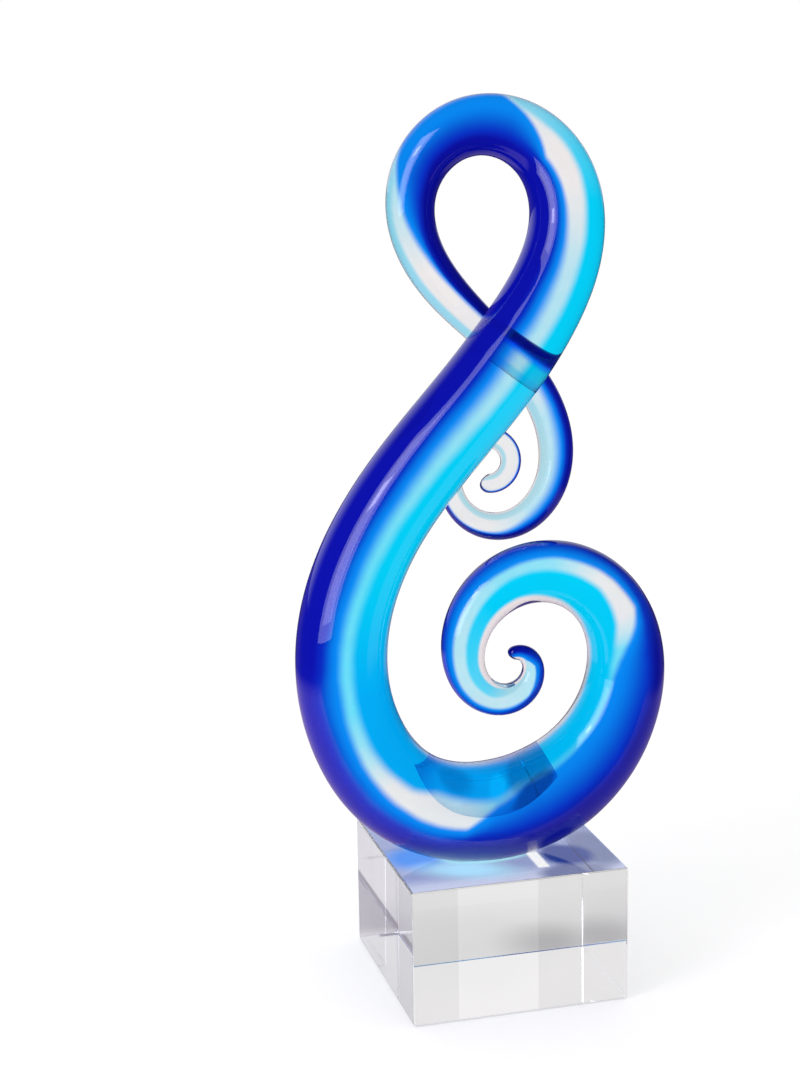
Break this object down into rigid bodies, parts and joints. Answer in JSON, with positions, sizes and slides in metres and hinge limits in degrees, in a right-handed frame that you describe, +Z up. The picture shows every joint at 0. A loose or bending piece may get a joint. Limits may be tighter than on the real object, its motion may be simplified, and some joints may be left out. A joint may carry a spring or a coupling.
{
  "type": "glass treble clef sculpture",
  "caption": "Free-standing treble clef of round glass rod, fused from cobalt, clear and aqua strips, with a scroll and a rear tail, bonded to a square clear crystal block.",
  "frame": {"origin": "centre of the crystal block's underside, on the surface that the piece stands on", "axes": "+Z up; the clef's face lies in XZ and is seen from -Y, with the scroll on +X; +Y goes to the back"},
  "size_m": [0.1351, 0.08, 0.3199],
  "materials": {
    "crystal_block": "polished clear optical crystal",
    "bond_film": "cured clear adhesive",
    "cobalt_strip": "fire-polished transparent cobalt blue",
    "clear_core": "fire-polished clear",
    "aqua_strip": "fire-polished transparent aqua blue"
  },
  "bodies": {
    "root": {"crystal_block": "crystal_block", "bond_film": "bond_film", "cobalt_strip": "cobalt_strip", "clear_core": "clear_core", "aqua_strip": "aqua_strip"}
  },
  "joints": []
}
